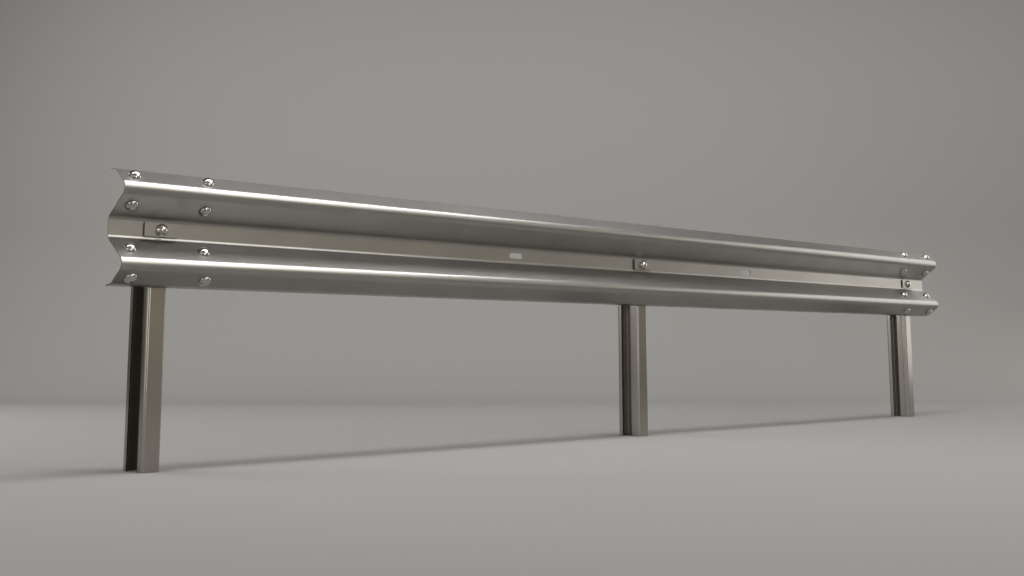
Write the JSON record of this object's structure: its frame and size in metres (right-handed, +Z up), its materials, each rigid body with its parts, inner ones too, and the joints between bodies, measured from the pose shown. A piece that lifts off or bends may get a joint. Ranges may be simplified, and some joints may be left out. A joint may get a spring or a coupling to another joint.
{
  "type": "highway guardrail section",
  "caption": "Straight roadside guardrail section: a rolled W-shaped steel beam bolted through cover plates to lipped steel posts, with splice bolts at both ends.",
  "frame": {"origin": "ground level, in the middle of the middle post's section", "axes": "+X along the rail, -Y towards the traffic, +Z up"},
  "size_m": [4.3, 0.1829, 0.7828],
  "materials": {
    "rail_steel": "satin",
    "post_steel": "satin",
    "plate_steel": "satin",
    "bolt_steel": "polished",
    "nut_steel": "satin"
  },
  "bodies": {
    "root": {"rail": "rail_steel", "post_left": "post_steel", "post_middle": "post_steel", "post_right": "post_steel", "cover_plate_left": "plate_steel", "cover_plate_middle": "plate_steel", "cover_plate_right": "plate_steel", "post_bolt_left": "bolt_steel", "post_nut_left": "nut_steel", "post_bolt_middle": "bolt_steel", "post_nut_middle": "nut_steel", "post_bolt_right": "bolt_steel", "post_nut_right": "nut_steel", "splice_bolt_left_1": "bolt_steel", "splice_nut_left_1": "nut_steel", "splice_bolt_left_2": "bolt_steel", "splice_nut_left_2": "nut_steel", "splice_bolt_left_3": "bolt_steel", "splice_nut_left_3": "nut_steel", "splice_bolt_left_4": "bolt_steel", "splice_nut_left_4": "nut_steel", "splice_bolt_left_5": "bolt_steel", "splice_nut_left_5": "nut_steel", "splice_bolt_left_6": "bolt_steel", "splice_nut_left_6": "nut_steel", "splice_bolt_left_7": "bolt_steel", "splice_nut_left_7": "nut_steel", "splice_bolt_left_8": "bolt_steel", "splice_nut_left_8": "nut_steel", "splice_bolt_right_1": "bolt_steel", "splice_nut_right_1": "nut_steel", "splice_bolt_right_2": "bolt_steel", "splice_nut_right_2": "nut_steel", "splice_bolt_right_3": "bolt_steel", "splice_nut_right_3": "nut_steel", "splice_bolt_right_4": "bolt_steel", "splice_nut_right_4": "nut_steel", "splice_bolt_right_5": "bolt_steel", "splice_nut_right_5": "nut_steel", "splice_bolt_right_6": "bolt_steel", "splice_nut_right_6": "nut_steel", "splice_bolt_right_7": "bolt_steel", "splice_nut_right_7": "nut_steel", "splice_bolt_right_8": "bolt_steel", "splice_nut_right_8": "nut_steel"}
  },
  "joints": []
}
